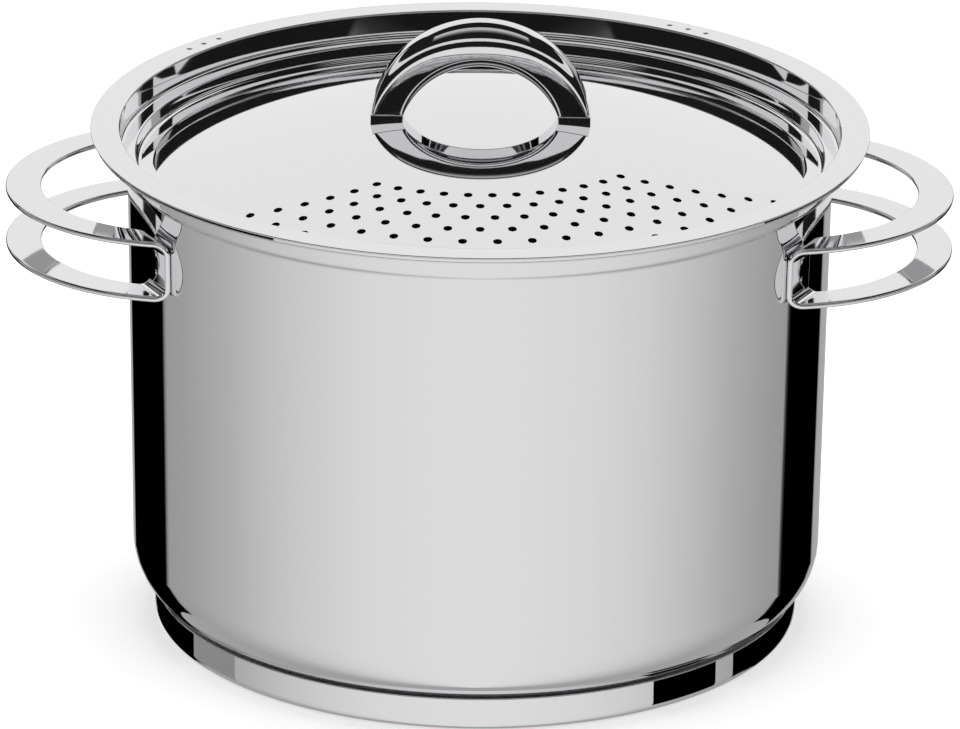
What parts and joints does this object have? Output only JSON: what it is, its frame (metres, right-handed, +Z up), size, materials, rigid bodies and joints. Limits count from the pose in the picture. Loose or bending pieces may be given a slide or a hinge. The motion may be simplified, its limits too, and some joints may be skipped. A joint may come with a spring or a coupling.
{
  "type": "pasta pot with strainer insert",
  "caption": "Tall steel cooking pot with a wide-flanged perforated strainer insert, a sunk domed lid with drain holes and an arch handle, and looped side handles.",
  "frame": {"origin": "middle of the circular face that the pot stands on", "axes": "+Z up along the pot's axis, +X to the handle on the right of the picture, -Y to the front of the picture"},
  "size_m": [0.3258, 0.2672, 0.2165],
  "materials": {
    "polished_steel": "mirror-polished stainless steel",
    "aluminium_core": "bonded disc, matt",
    "base_steel": "polished side, turned underside",
    "handle_steel": "mirror-polished stainless steel",
    "insert_steel": "polished stainless steel",
    "lid_steel": "mirror-polished stainless steel"
  },
  "bodies": {
    "pot": {"pot_body": "polished_steel", "base_core": "aluminium_core", "base_cap": "base_steel", "handle_left": "handle_steel", "handle_right": "handle_steel"},
    "insert": {"strainer_insert": "insert_steel"},
    "lid": {"lid": "lid_steel", "lid_handle": "handle_steel"}
  },
  "joints": [
    {"name": "insert_lift", "type": "slide", "parent": "pot", "child": "insert", "axis": [0, 0, 1], "range_m": [0, 0.16]},
    {"name": "lid_lift", "type": "slide", "parent": "insert", "child": "lid", "axis": [0, 0, 1], "range_m": [0, 0.08]}
  ]
}
